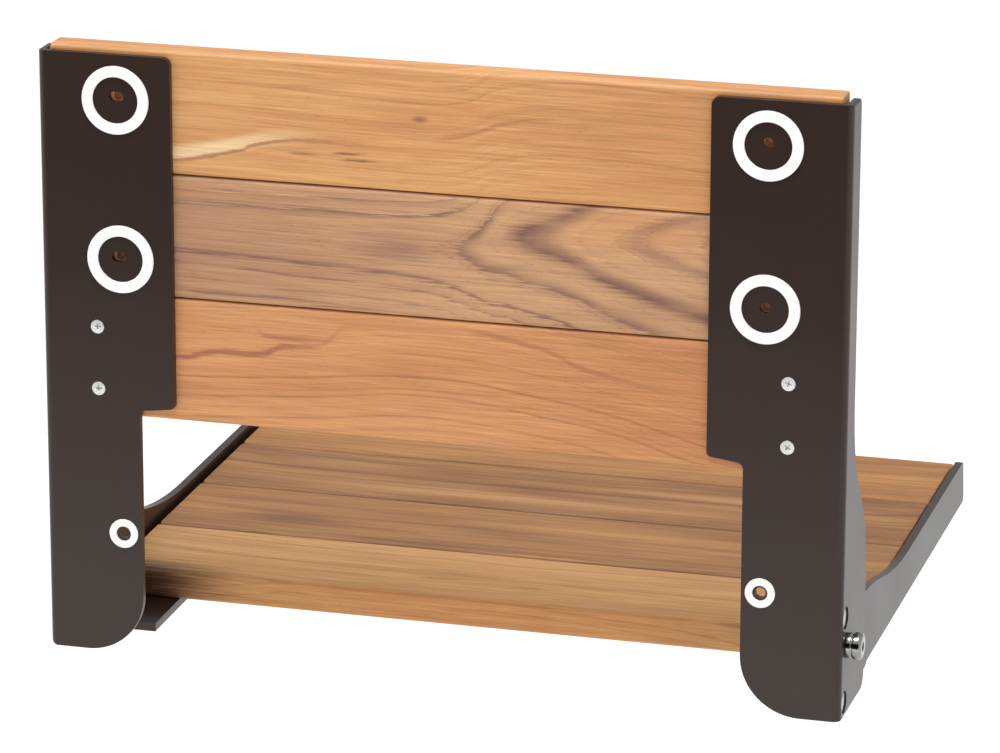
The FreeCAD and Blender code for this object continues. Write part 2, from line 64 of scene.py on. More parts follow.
def make_camera():
    data = bpy.data.cameras.new("camera")
    data.lens = LENS
    data.sensor_width = SENSOR
    data.clip_end = CAMERA_REACH
    camera = bpy.data.objects.new("camera", data)
    camera.rotation_mode = "QUATERNION"
    turn = CAMERA_LOOK.to_track_quat("-Z", "Y")
    camera.rotation_quaternion = turn @ Matrix.Rotation(CAMERA_ROLL, 3, "Z").to_quaternion()
    camera.location = CAMERA_PLACE
    bpy.context.scene.collection.objects.link(camera)
    bpy.context.scene.camera = camera


# ---- small helpers for writing node trees ----

def tone(red, green, blue):
    """A display colour, 0 to 255, as the linear colour that a material takes."""
    channels = [value / 255 for value in (red, green, blue)]
    return (*[((c + 0.055) / 1.055) ** 2.4 if c > 0.04 else c / 12.92 for c in channels], 1)


def even(fineness):
    """The same fineness along all three axes."""
    return (fineness, fineness, fineness)


def new_material(name):
    material = bpy.data.materials.new(name)
    material.use_nodes = True
    tree = material.node_tree
    return material, tree, tree.nodes["Principled BSDF"]


def put(tree, kind, inputs, **settings):
    """Adds a node; an input is either a value or the socket that feeds it."""
    node = tree.nodes.new(kind)
    for name, value in settings.items():
        setattr(node, name, value)
    for key, value in inputs.items():
        if isinstance(value, bpy.types.NodeSocket):
            tree.links.new(value, node.inputs[key])
        else:
            node.inputs[key].default_value = value
    return node


def work(tree, operation, first, second=0.0):
    """One sum on numbers."""
    return put(tree, "ShaderNodeMath", {0: first, 1: second}, operation=operation).outputs[0]


def blend(tree, amount, first, second, way="MIX"):
    """Two colours mixed: the first at amount 0, the second at 1."""
    return put(tree, "ShaderNodeMix", {0: amount, 6: first, 7: second},
               data_type="RGBA", blend_type=way).outputs[2]


def spread(tree, value, low, high, to_low=0.0, to_high=1.0, soft=True):
    """Takes value's range low to high onto another range, held at its ends."""
    return put(tree, "ShaderNodeMapRange", {0: value, 1: low, 2: high, 3: to_low, 4: to_high},
               interpolation_type="SMOOTHSTEP" if soft else "LINEAR").outputs[0]


def noise(tree, place, per_unit, detail=2.0, rough=0.5):
    """Noise of 0 to 1, with its own fineness along each axis."""
    stretched = put(tree, "ShaderNodeMapping", {"Vector": place, "Scale": per_unit}).outputs[0]
    return put(tree, "ShaderNodeTexNoise", {"Vector": stretched, "Scale": 1.0, "Detail": detail,
                                            "Roughness": rough}).outputs[0]


def noise_of(tree, value, per_unit, detail=2.0):
    """Noise of 0 to 1 along a single value."""
    scaled = work(tree, "MULTIPLY", value, per_unit)
    return put(tree, "ShaderNodeTexNoise", {"W": scaled, "Scale": 1.0, "Detail": detail},
               noise_dimensions="1D").outputs[0]


def both_ways(tree, value, reach):
    """A noise of 0 to 1 as a shift of minus reach to plus reach."""
    return spread(tree, value, 0.0, 1.0, -reach, reach, soft=False)


def bump(tree, shader, height, depth, strength=1.0):
    """Fine relief on the surface, where height 1 stands depth metres over height 0."""
    node = put(tree, "ShaderNodeBump", {"Height": height, "Distance": depth, "Strength": strength})
    tree.links.new(node.outputs[0], shader.inputs["Normal"])


def object_place(tree):
    return tree.nodes.new("ShaderNodeTexCoord").outputs["Object"]


# ---- teak ----
#
# Each slat is cut from its own part of a log. In the slat's own millimetres, x runs along it
# from its middle and y across its width from the lower or front edge. z is 0 on the show face,
# above 0 inside a back slat and below 0 inside a seat slat. The growth rings are round the
# log's pith, which lies off the face by "depth" and wanders across the slat by "pith". Along
# the slat they get nearer or further by "taper". Where they meet the face they draw the grain.

SLAT_REACH = 240.0             # x of the ends of the values that are given along a slat

# Fineness of each noise per millimetre: along the slat, across its width and into the board.
FIBRE = (0.018, 0.75, 0.75)
FINE_FIBRE = (0.04, 2.2, 2.2)
SWELL = (0.007, 0.03, 0.03)
CLOUD = (0.006, 0.035, 0.035)
BROAD_STREAK = (0.011, 0.2, 0.2)
LINE_BREAKS = (0.012, 0.12, 0.12)
STRAY_EDGE = (0.06, 0.5, 0.5)
PORE = (0.13, 1.5, 1.5)
PORE_ZONE = (0.02, 0.08, 0.08)

CLOUD_FORCE = 0.7
STRAY_RAG = 2.2                # how far a stray line's edges wander, in millimetres
PORE_TONE = tone(96, 58, 38)


def slat_place(tree, corner, upright):
    """A point's place in the slat's own millimetres; corner is in metres."""
    turn = (-math.pi / 2, 0, 0) if upright else (0, 0, 0)
    shift = (0, corner[2], -corner[1]) if upright else (0, corner[1], corner[2])
    return put(tree, "ShaderNodeMapping",
               {"Vector": object_place(tree), "Rotation": turn, "Scale": even(TO_MM),
                "Location": [-TO_MM * value for value in shift]}).outputs[0]


def along_slat(tree, x, points):
    """A value given at places along the slat: (x, value), in millimetres."""
    values = [value for _, value in points]
    low = min(values) - 1.0
    high = max(values) + 1.0
    curve = tree.nodes.new("ShaderNodeFloatCurve")
    line = curve.mapping.curves[0]
    wanted = [((place + SLAT_REACH) / (2 * SLAT_REACH), (value - low) / (high - low))
              for place, value in sorted(points)]
    while len(line.points) < len(wanted):
        line.points.new(0.5, 0.5)
    for point, spot in zip(line.points, wanted):
        point.location = spot
        point.handle_type = "AUTO"
    curve.mapping.update()
    tree.links.new(spread(tree, x, -SLAT_REACH, SLAT_REACH, soft=False), curve.inputs["Value"])
    return spread(tree, curve.outputs[0], 0.0, 1.0, low, high, soft=False)


def growth_rings(tree, place, fibre, pith, taper, depth, wander, streak):
    """How far each point is from the pith, in millimetres, which is its growth ring."""
    x, y, z = put(tree, "ShaderNodeSeparateXYZ", {0: place}).outputs
    across = work(tree, "SUBTRACT", y, along_slat(tree, x, pith))
    deep_in = work(tree, "ADD", z, depth)
    radius = work(tree, "SQRT", work(tree, "ADD", work(tree, "MULTIPLY", across, across),
                                     work(tree, "MULTIPLY", deep_in, deep_in)))
    ring = work(tree, "ADD", radius, along_slat(tree, x, taper))
    ring = work(tree, "ADD", ring, both_ways(tree, noise(tree, place, SWELL), wander))
    return work(tree, "ADD", ring, both_ways(tree, fibre, streak))


def drawn_lines(tree, ring, lines):
    """Darkness of single growth lines: (ring, half width, strength)."""
    low = min(place for place, _, _ in lines) - 8.0
    high = max(place for place, _, _ in lines) + 8.0
    stops = [(low, 0.0)]
    for place, half, strength in sorted(lines):
        start = max(place - 1.6 * half, stops[-1][0] + 0.05)
        stops += [(start, 0.0), (place, strength), (place + half, 0.0)]
    ramp = put(tree, "ShaderNodeValToRGB", {0: spread(tree, ring, low, high, soft=False)})
    elements = ramp.color_ramp.elements
    while len(elements) > 1:
        elements.remove(elements[-1])
    for index, (place, strength) in enumerate(stops):
        spot = (place - low) / (high - low)
        element = elements.new(spot) if index else elements[0]
        element.position = spot
        element.color = (strength, strength, strength, 1)
    return ramp.outputs[0]


def patch(tree, place, centre, half_size, ragged):
    """Softly edged oval, 1 in the middle and 0 outside."""
    away = put(tree, "ShaderNodeVectorMath", {0: place, 1: (*centre, 0)}, operation="SUBTRACT")
    per_half = (1 / half_size[0], 1 / half_size[1], 0)
    scaled = put(tree, "ShaderNodeVectorMath", {0: away.outputs[0], 1: per_half},
                 operation="MULTIPLY")
    reach = put(tree, "ShaderNodeVectorMath", {0: scaled.outputs[0]}, operation="LENGTH")
    return spread(tree, work(tree, "ADD", reach.outputs["Value"], ragged), 1.0, 0.1)


def stray(tree, place, rough_edge, path, half, force):
    """A line that leaves the rings and follows its own path along the slat, of (x, y) points.
    It comes in slowly over half its length, from its end of low x, and fades fast at the other."""
    x, y, _ = put(tree, "ShaderNodeSeparateXYZ", {0: place}).outputs
    off = work(tree, "ABSOLUTE", work(tree, "SUBTRACT", y, along_slat(tree, x, path)))
    near = spread(tree, work(tree, "ADD", off, rough_edge), half * 1.5, half * 0.3, 0.0, force)
    first = min(spot for spot, _ in path)
    last = max(spot for spot, _ in path)
    starts = spread(tree, x, first - 5, first + 0.55 * (last - first))
    stops = spread(tree, x, last + 5, last - 0.15 * (last - first))
    return work(tree, "MULTIPLY", near, work(tree, "MULTIPLY", starts, stops))


def clouded_ground(tree, place, ring, ground, deep):
    """The wood's two broad tones, in clouds, in bands of rings and in streaks."""
    cloud = spread(tree, noise(tree, place, CLOUD), 0.35, 0.7)
    band = spread(tree, noise_of(tree, ring, 0.16, 3.0), 0.42, 0.68, 0.0, 0.5)
    streak = spread(tree, noise(tree, place, BROAD_STREAK, 4.0, 0.6), 0.48, 0.7, 0.0, 0.7)
    colour = blend(tree, work(tree, "MULTIPLY", cloud, CLOUD_FORCE), ground, deep)
    colour = blend(tree, band, colour, deep)
    return blend(tree, streak, colour, deep)


def with_patches(tree, place, fibre, colour, patches):
    ragged = both_ways(tree, fibre, 0.5)
    for centre, half_size, patch_tone, force in patches:
        spot = work(tree, "MULTIPLY", patch(tree, place, centre, half_size, ragged), force)
        colour = blend(tree, spot, colour, patch_tone)
    return colour


def with_growth_lines(tree, place, ring, colour, line_tone, fine, lines):
    """Faint lines on every ring, and the drawn ones, which fade here and there."""
    thin = spread(tree, noise_of(tree, ring, 0.55), 0.58, 0.74, 0.0, fine)
    colour = blend(tree, thin, colour, line_tone)
    breaks = spread(tree, noise(tree, place, LINE_BREAKS, 3.0), 0.3, 0.6, 0.45, 1.0)
    drawn = work(tree, "MULTIPLY", drawn_lines(tree, ring, lines), breaks)
    return blend(tree, drawn, colour, line_tone)


def with_strays(tree, place, colour, strays):
    rough_edge = both_ways(tree, noise(tree, place, STRAY_EDGE, 4.0, 0.65), STRAY_RAG)
    for path, half, stray_tone, force in strays:
        near = stray(tree, place, rough_edge, path, half, force)
        colour = blend(tree, near, colour, stray_tone)
    return colour


def with_fibres(tree, place, fibre, colour):
    """Lighter and darker threads along the grain."""
    fine_fibre = noise(tree, place, FINE_FIBRE, 3.0)
    grey = work(tree, "MULTIPLY", spread(tree, fibre, 0.25, 0.75, 0.78, 1.16, soft=False),
                spread(tree, fine_fibre, 0.25, 0.75, 0.93, 1.06, soft=False))
    shades = put(tree, "ShaderNodeCombineXYZ", {0: grey, 1: grey, 2: grey}).outputs[0]
    return blend(tree, 1.0, colour, shades, "MULTIPLY")


def open_pores(tree, place):
    """1 in the short pores that lie along the grain, 0 between them."""
    cells = put(tree, "ShaderNodeMapping", {"Vector": place, "Scale": PORE}).outputs[0]
    away = put(tree, "ShaderNodeTexVoronoi", {"Vector": cells, "Scale": 1.0}).outputs["Distance"]
    return spread(tree, away, 0.16, 0.05)


def teak(name, corner, upright, ground, deep, line_tone, pith, taper, depth, lines,
         wander=3.0, streak=0.9, fine=0.34, patches=(), strays=()):
    """Oiled teak for one slat, whose show face starts at corner, in metres."""
    material, tree, shader = new_material(name)
    place = slat_place(tree, corner, upright)
    fibre = noise(tree, place, FIBRE, 5.0, 0.62)
    ring = growth_rings(tree, place, fibre, pith, taper, depth, wander, streak)
    pore = open_pores(tree, place)
    pore_zone = spread(tree, noise(tree, place, PORE_ZONE), 0.4, 0.62, 0.1, 0.75)

    colour = clouded_ground(tree, place, ring, ground, deep)
    colour = with_patches(tree, place, fibre, colour, patches)
    colour = with_growth_lines(tree, place, ring, colour, line_tone, fine, lines)
    colour = with_strays(tree, place, colour, strays)
    colour = with_fibres(tree, place, fibre, colour)
    colour = blend(tree, work(tree, "MULTIPLY", pore, pore_zone), colour, PORE_TONE)

    tree.links.new(colour, shader.inputs["Base Color"])
    roughness = spread(tree, fibre, 0.2, 0.8, 0.74, 0.58, soft=False)
    tree.links.new(roughness, shader.inputs["Roughness"])
    shader.inputs["Specular IOR Level"].default_value = 0.27
    relief = work(tree, "SUBTRACT", work(tree, "MULTIPLY", fibre, 0.6), pore)
    bump(tree, shader, relief, 0.12 * MM, 0.6)
    return material


def slat_corner(node, upright):
    """Lower corner of an upright slat's wall side, or front corner of a seat slat's top."""
    low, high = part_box(node)
    return (0, high.y, low.z) if upright else (0, low.y, high.z)


# Patches are (centre, half size, tone, force); strays are (path, half width, tone, force).
TEAKS = {
    "back_slat_top": dict(
        ground=tone(222, 166, 108), deep=tone(204, 142, 88), line_tone=tone(160, 100, 64), depth=30,
        pith=[(240, -52), (120, -50), (40, -52), (4, -52), (-37, -40), (-98, -34), (-166, -37),
              (-240, -42)],
        taper=[(240, 0), (-240, 4)], fine=0.22,
        lines=[(72, 0.7, 0.35), (92, 0.6, 0.4), (99, 0.5, 0.25), (112, 0.7, 0.45), (119, 0.5, 0.35)],
        patches=[((-130, 44), (150, 46), tone(194, 134, 84), 0.55),
                 ((11, 44), (7, 3), tone(140, 84, 54), 0.75),              # small knot
                 ((-8, 50), (26, 13), tone(214, 150, 92), 0.5)],
        strays=[([(200, 8), (161, 13), (124, 20.5), (96, 27), (60, 30)],   # pale streak
                 4.4, tone(240, 206, 158), 0.9),
                ([(200, 5), (161, 9), (124, 16.5), (93, 25), (73, 26), (42, 25), (5, 23.4)],
                 1.1, tone(158, 98, 62), 0.7),                             # dark line under it
                ([(62, 20), (44, 20.5)], 0.7, tone(124, 78, 52), 0.7),
                ([(58, 16), (36, 16.5)], 0.7, tone(124, 78, 52), 0.7),
                ([(88, 18), (74, 18)], 0.6, tone(124, 78, 52), 0.6),
                ([(0, 33), (-22, 38), (-45, 46), (-80, 50)], 1.6, tone(170, 108, 68), 0.5)]),
    "back_slat_middle": dict(
        ground=tone(210, 162, 116), deep=tone(184, 138, 104), line_tone=tone(116, 78, 72), depth=7,
        pith=[(240, 44), (120, 44), (40, 43), (-12, 43), (-44, 53), (-114, 56), (-240, 60)],
        taper=[(240, 27), (120, 26), (40, 24), (0, 21), (-14, 17), (-44, 0), (-74, -9),
               (-108, -24), (-156, -40), (-240, -66)],
        lines=[(-38, 3.0, 0.3), (-20, 4.0, 0.5), (5, 5.0, 0.9), (24, 3.6, 0.7), (42.6, 1.2, 0.85),
               (50, 0.8, 0.5), (58, 0.8, 0.5), (65, 1.3, 0.8)],
        wander=2.0, streak=4.6, fine=0.32,
        patches=[((-120, 62), (90, 22), tone(216, 152, 98), 0.55),
                 ((160, 38), (190, 70), tone(176, 130, 98), 0.75),
                 ((30, 40), (38, 14), tone(140, 102, 90), 0.38),
                 ((150, 28), (60, 4), tone(150, 108, 88), 0.4),
                 ((170, 66), (90, 8), tone(190, 134, 98), 0.5)]),
    "back_slat_bottom": dict(
        ground=tone(218, 156, 102), deep=tone(197, 132, 86), line_tone=tone(150, 90, 62), depth=24,
        pith=[(240, 110), (160, 114), (80, 120), (0, 126), (-60, 120), (-160, 98), (-240, 80)],
        taper=[(240, 0), (-240, 0)], fine=0.25,
        lines=[(52, 0.8, 0.3), (90, 0.9, 0.55), (101, 0.9, 0.55), (113, 0.6, 0.4)],
        patches=[((-150, 50), (170, 60), tone(190, 126, 80), 0.6)],
        strays=[([(175, 40), (160, 40), (133, 45), (113, 45), (96, 51), (76, 53), (58, 66), (41, 70)],
                 1.9, tone(160, 96, 70), 0.8),                             # ragged dark line
                ([(110, 58), (86, 56), (64, 57)], 1.6, tone(166, 104, 78), 0.6),
                ([(-10, 72), (-60, 63), (-90, 52), (-120, 46), (-175, 40)],
                 1.6, tone(166, 104, 74), 0.5)]),
    "rear_seat_slat": dict(
        ground=tone(210, 160, 102), deep=tone(188, 138, 84), line_tone=tone(144, 94, 58), depth=60,
        pith=[(240, -40), (0, -30), (-240, -44)], taper=[(240, 0), (-240, 3)],
        lines=[(78, 0.6, 0.3), (96, 0.6, 0.3)],
        # The dark end is painted shade, where the bracket and arm shade this end of the slat.
        patches=[((220, 86), (84, 30), tone(58, 35, 24), 1.0),             # dark end
                 ((0, 84), (260, 7), tone(200, 126, 78), 0.6)],
        strays=[([(150, 44), (134, 43.6)], 0.7, tone(120, 80, 50), 0.7),
                ([(40, 52), (16, 51)], 0.8, tone(120, 80, 50), 0.7),
                ([(-20, 54), (-40, 53)], 0.7, tone(120, 80, 50), 0.6)]),
    "second_seat_slat": dict(
        ground=tone(176, 127, 76), deep=tone(142, 97, 60), line_tone=tone(120, 80, 56), depth=60,
        pith=[(240, -40), (0, -34), (-240, -44)], taper=[(240, 0), (-240, 3)],
        lines=[(74, 0.8, 0.3), (92, 0.7, 0.35), (110, 0.6, 0.3)],
        patches=[((150, 52), (60, 18), tone(110, 72, 48), 0.6),
                 ((-60, 30), (150, 14), tone(196, 144, 88), 0.6),
                 ((60, 76), (150, 5), tone(120, 80, 52), 0.45)]),
    "third_seat_slat": dict(
        ground=tone(172, 124, 74), deep=tone(132, 88, 54), line_tone=tone(116, 76, 54), depth=60,
        pith=[(240, -44), (0, -36), (-240, -48)], taper=[(240, 0), (-240, 3)],
        lines=[(80, 2.4, 0.5), (98, 1.8, 0.55), (112, 0.8, 0.4)],
        patches=[((40, 62), (230, 13), tone(198, 150, 98), 0.65),
                 ((-120, 30), (120, 9), tone(200, 152, 98), 0.6),
                 ((150, 22), (70, 8), tone(196, 148, 94), 0.5)]),
    "front_seat_slat": dict(
        ground=tone(190, 137, 78), deep=tone(156, 106, 60), line_tone=tone(132, 88, 58), depth=60,
        pith=[(240, -44), (0, -36), (-240, -48)], taper=[(240, 0), (-240, 3)],
        lines=[(84, 1.6, 0.35), (100, 1.2, 0.4)]),
}


# ---- other materials, whose noises have their fineness per metre ----

def powder_coat():
    """Satin bronze powder coat with the fine skin that it dries to."""
    material, tree, shader = new_material("bronze_powder_coat")
    place = object_place(tree)
    cloud = noise(tree, place, even(9), 3.0)
    speck = noise(tree, place, even(900))
    colour = blend(tree, cloud, tone(43, 27, 18), tone(51, 33, 24))
    colour = blend(tree, spread(tree, speck, 0.55, 0.8, 0.0, 0.4), colour, tone(70, 54, 46))
    tree.links.new(colour, shader.inputs["Base Color"])
    roughness = spread(tree, cloud, 0.2, 0.8, 0.29, 0.36, soft=False)
    tree.links.new(roughness, shader.inputs["Roughness"])
    shader.inputs["Specular IOR Level"].default_value = 0.4
    bump(tree, shader, noise(tree, place, even(700)), 0.06 * MM, 0.5)
    return material


def brushed(name, colour, dark, roughness, metal=1.0):
    """Plain steel: fine grinding marks, faint stains and a little wear."""
    material, tree, shader = new_material(name)
    place = object_place(tree)
    marks = noise(tree, place, even(900), 3.0)
    stain = spread(tree, noise(tree, place, even(60), 3.0), 0.35, 0.75)
    tree.links.new(blend(tree, stain, colour, dark), shader.inputs["Base Color"])
    worn = spread(tree, marks, 0.2, 0.8, roughness * 0.75, roughness * 1.3, soft=False)
    tree.links.new(worn, shader.inputs["Roughness"])
    shader.inputs["Metallic"].default_value = metal
    bump(tree, shader, marks, 0.02 * MM, 0.4)
    return material


def moulded(name, colour, dark, roughness, fineness, depth):
    """Plastic or rubber with an even fine grain, whose relief is depth metres deep."""
    material, tree, shader = new_material(name)
    grain = noise(tree, object_place(tree), even(fineness), 3.0)
    mottled = blend(tree, spread(tree, grain, 0.35, 0.75), colour, dark)
    tree.links.new(mottled, shader.inputs["Base Color"])
    shader.inputs["Roughness"].default_value = roughness
    bump(tree, shader, grain, depth, 0.6)
    return material


def closed_cell_foam():
    """White foam tape, with its small cells cut open on the surface and painted shade in their
    hollows.
    """
    material, tree, shader = new_material("white_cell_foam")
    place = object_place(tree)
    cells = put(tree, "ShaderNodeTexVoronoi", {"Vector": place, "Scale": 1800.0}).outputs["Distance"]
    # Painted shade: the cut cells are darker towards their hollow middles.
    hollow = spread(tree, cells, 0.55, 0.1, 0.0, 0.22)
    soil = spread(tree, noise(tree, place, even(80), 3.0), 0.5, 0.8, 0.0, 0.15)
    colour = blend(tree, hollow, tone(250, 249, 246), tone(214, 210, 204))
    colour = blend(tree, soil, colour, tone(220, 214, 205))
    tree.links.new(colour, shader.inputs["Base Color"])
    shader.inputs["Roughness"].default_value = 0.85
    bump(tree, shader, cells, 0.15 * MM, 0.7)
    return material


def dowel_wood():
    """Plain beech dowel: straight fine grain with short dark flecks."""
    material, tree, shader = new_material("beech_dowel")
    place = object_place(tree)
    grain = noise(tree, place, (900, 900, 40), 3.0)
    fleck = spread(tree, noise(tree, place, (1600, 1600, 300), 1.0), 0.66, 0.74)
    colour = blend(tree, grain, tone(214, 178, 134), tone(186, 144, 100))
    colour = blend(tree, fleck, colour, tone(140, 96, 62))
    tree.links.new(colour, shader.inputs["Base Color"])
    shader.inputs["Roughness"].default_value = 0.6
    bump(tree, shader, grain, 0.08 * MM, 0.5)
    return material


FINISHES = {
    "bronze_coat": powder_coat(),
    "dowel_wood": dowel_wood(),
    "seal_foam": closed_cell_foam(),
    "polished_steel": brushed("polished_steel", colour=(0.36, 0.345, 0.34, 1),
                              dark=(0.27, 0.26, 0.25, 1), roughness=0.14),
    "screw_steel": brushed("screw_steel", colour=(0.84, 0.83, 0.81, 1),
                           dark=(0.68, 0.66, 0.64, 1), roughness=0.34, metal=0.5),
    "rivet_steel": brushed("rivet_steel", colour=(0.62, 0.61, 0.6, 1),
                           dark=(0.48, 0.47, 0.46, 1), roughness=0.35),
    "spring_steel": brushed("spring_steel", colour=(0.36, 0.35, 0.34, 1),
                            dark=(0.24, 0.2, 0.18, 1), roughness=0.3),
    "pad_plastic": moulded("white_pad_plastic", colour=tone(232, 230, 222),
                           dark=tone(214, 210, 200), roughness=0.45, fineness=500, depth=0.05 * MM),
    "bushing_plastic": moulded("black_bearing_plastic", colour=tone(34, 34, 35),
                               dark=tone(48, 47, 47), roughness=0.4, fineness=700, depth=0.04 * MM),
    "bumper_rubber": moulded("black_rubber", colour=tone(28, 27, 27),
                             dark=tone(40, 38, 37), roughness=0.7, fineness=900, depth=0.1 * MM),
}


def finish_of(node):
    """A slat's own teak, or the finish that the record names for the piece."""
    if node in TEAKS:
        upright = node.startswith("back")
        return teak("teak_" + node, slat_corner(node, upright), upright, **TEAKS[node])
    slot = next(part["material_slot"] for part in frame["record"]["subparts"] if part["node"] == node)
    return FINISHES[slot]


for node, thing in frame["nodes"].items():
    thing.data.materials.clear()
    thing.data.materials.append(finish_of(node))


# ---- pieces with softer edges than the CAD's ----

WELD = 0.002 * MM              # mesh points nearer than this are made one
FLAT = math.radians(0.5)       # faces that meet at less than this are made one
PLATE_EDGE = 0.6 * MM          # rounding of the cut plates' edges under the coat
PLATE_EDGE_STEPS = 3
CUT_ANGLE = math.radians(40)   # a sharper corner than this is an edge to round


def show(name, mesh, body, nodes):
    """Puts a finished mesh in the scene in place of CAD nodes."""
    piece = bpy.data.objects.new(name, mesh)
    bpy.context.scene.collection.objects.link(piece)
    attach(piece, body)
    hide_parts(*nodes)


def finished_mesh(thing):
    """The plain mesh that an object's modifiers make."""
    bpy.context.view_layer.update()
    evaluated = thing.evaluated_get(bpy.context.evaluated_depsgraph_get())
    return bpy.data.meshes.new_from_object(evaluated)


def welded(mesh):
    """A mesh to edit, with a CAD node's loose triangles joined at their corners."""
    shape = bmesh.new()
    shape.from_mesh(mesh)
    bmesh.ops.remove_doubles(shape, verts=shape.verts, dist=WELD)
    return shape


def smooth_faces(mesh):
    mesh.polygons.foreach_set("use_smooth", [True] * len(mesh.polygons))


def coated_plate(node, body):
    """A bent plate whose cut edges are rounded, as they are before it is coated."""
    mesh = frame["nodes"][node].data.copy()
    shape = welded(mesh)
    bmesh.ops.dissolve_limit(shape, angle_limit=FLAT, verts=shape.verts, edges=shape.edges)
    shape.to_mesh(mesh)
    shape.free()
    draft = bpy.data.objects.new("draft", mesh)
    bpy.context.scene.collection.objects.link(draft)
    rounding = draft.modifiers.new("rounding", "BEVEL")
    rounding.width = PLATE_EDGE
    rounding.segments = PLATE_EDGE_STEPS
    rounding.limit_method = "ANGLE"
    rounding.angle_limit = CUT_ANGLE
    rounding.use_clamp_overlap = True
    draft.modifiers.new("even", "WEIGHTED_NORMAL").keep_sharp = True
    smooth_faces(mesh)
    rounded = finished_mesh(draft)
    bpy.data.objects.remove(draft)
    rounded.name = node + "_coated"
    show(node + "_coated", rounded, body, [node])


for side in ("left", "right"):
    coated_plate(side + "_wall_bracket", "wall_frame")
    coated_plate(side + "_seat_arm", "seat")


# ---- turned pieces ----
#
# A profile lists rings of (radius or outline, height), in millimetres, from the tip up to the
# crown. An outline gives the radius at an angle. Height 0 is a screw's or rivet's crown, the
# seat under a bolt's head, a disc spring's narrow end and the middle of a dowel.

SHARP = math.radians(38)       # faces that meet at more than this show an edge


def hexagon(half_flats):
    """Edge of a hexagon socket, from half its width across flats."""
    return lambda angle: half_flats / math.cos(angle % (math.pi / 3) - math.pi / 6)


def cross(long_half, short_half):
    """Edge of a cross recess: the further of two bars laid across each other."""
    def bar(angle):
        along = long_half / max(abs(math.cos(angle)), 1e-6)
        return min(along, short_half / max(abs(math.sin(angle)), 1e-6))
    return lambda angle: max(bar(angle), bar(angle + math.pi / 2))


def ring_of_points(shape, outline, height, sides):
    loop = []
    for step in range(sides):
        angle = 2 * math.pi * step / sides
        reach = outline(angle) if callable(outline) else outline
        loop.append(shape.verts.new((reach * math.cos(angle) * MM, reach * math.sin(angle) * MM,
                                     height * MM)))
    return loop


def close_end(shape, loop, height, crown):
    """Fan of triangles that closes the tip or the crown."""
    centre = shape.verts.new((0, 0, height * MM))
    for step, point in enumerate(loop):
        corners = (point, loop[(step + 1) % len(loop)], centre)
        shape.faces.new(corners if crown else corners[::-1])


def turned(name, profile, sides=48, hollow=False):
    """Skins a profile. A hollow piece's last ring joins its first one, and others are closed."""
    shape = bmesh.new()
    loops = [ring_of_points(shape, outline, height, sides) for outline, height in profile]
    pairs = list(zip(loops, loops[1:]))
    if hollow:
        pairs.append((loops[-1], loops[0]))
    for lower, upper in pairs:
        for step in range(sides):
            after = (step + 1) % sides
            shape.faces.new((lower[step], lower[after], upper[after], upper[step]))
    if not hollow:
        close_end(shape, loops[0], profile[0][1], crown=False)
        close_end(shape, loops[-1], profile[-1][1], crown=True)
    bmesh.ops.recalc_face_normals(shape, faces=shape.faces)
    mesh = bpy.data.meshes.new(name)
    shape.to_mesh(mesh)
    shape.free()
    smooth_faces(mesh)
    mesh.set_sharp_from_angle(angle=SHARP)
    return mesh


HEAD = 4.15                    # radius of a back slat screw's head
BACK_SCREW = [(0.6, -17), (1.5, -15.6), (2, -14.5), (2, -2.25), (HEAD - 0.12, -0.2),
              (HEAD, -0.1), (HEAD - 0.06, -0.02), (HEAD - 0.3, 0),
              (cross(2.35, 0.62), 0), (cross(2.25, 0.5), -0.18), (cross(1.5, 0.36), -1.5),
              (cross(0.5, 0.3), -1.9)]
RIVET = [(2.5, -3.6), (2.5, -1.2), (6.7, -1.2), (6.8, -1.1), (6.8, -0.35), (6.65, -0.12),
         (6.3, 0), (2.9, 0), (2.7, -0.06), (1.2, -0.1)]
DOWEL = [(2.5, -15), (2.9, -14.5), (3, -14), (3, 14), (2.9, 14.5), (2.5, 15)]
DISC_SPRING = [(4.1, 0), (7.9, 0.39), (8, 0.45), (8, 1.15), (7.9, 1.2), (4.1, 0.8)]

BOLT_SHANK = [(3.4, -25.75), (4, -25.1), (4, 0)]
STEPPED_HEAD = [(7.2, 0), (7.5, 0.15), (7.6, 0.5), (7.6, 3.0), (7.5, 3.3), (7.2, 3.6),
                (7.15, 3.9), (7.2, 4.2), (7.7, 4.35), (7.95, 4.7), (8, 5.2), (8, 7.8),
                (7.85, 8.4), (7.4, 9.05), (6.8, 9.5), (6.2, 9.72), (5.7, 9.78),
                (hexagon(2.8), 9.78), (hexagon(2.5), 9.5), (hexagon(2.5), 6.0)]
LOW_HEAD = [(7.95, 0), (8, 0.1), (7.98, 0.4), (7.75, 0.85), (7.2, 1.3), (6.6, 1.53), (6, 1.58),
            (hexagon(2.8), 1.58), (hexagon(2.5), 1.3), (hexagon(2.5), -2.2)]


def seat_screw(length):
    """Pan-head cross-recess screw."""
    return [(0.6, 0.1 - length), (1.5, 1.4 - length), (2, 2.6 - length), (2, -2.4),
            (3.95, -2.4), (3.99, -2.3), (3.98, -1.3), (3.7, -0.6), (3.2, -0.15), (2.6, 0),
            (cross(1.9, 0.5), 0), (cross(1.3, 0.35), -1.2), (cross(0.4, 0.3), -1.5)]


# ---- where the turned pieces go ----

SIDES = (("left", 1), ("right", -1))
SEAT_FOLD = frame["record"]["behaviour"]["joints"][0]
SEAT_SLOPE = 90 - SEAT_FOLD["range_deg"][1]    # degrees that the seat rises to its front at rest

# In millimetres, for the left side; the right side has them at minus x.
_, HINGE_DEPTH, HINGE_HEIGHT = [value / MM for value in SEAT_FOLD["pos_m"]]
BOLT_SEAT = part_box("left_wall_bracket")[1].x / MM
RIVET_SUNK = 1.0               # depth of a rivet's crown under the bracket's outer face
RIVET_CROWN = BOLT_SEAT - RIVET_SUNK
SPRING_FACES = [corner.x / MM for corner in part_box("left_disc_springs")]

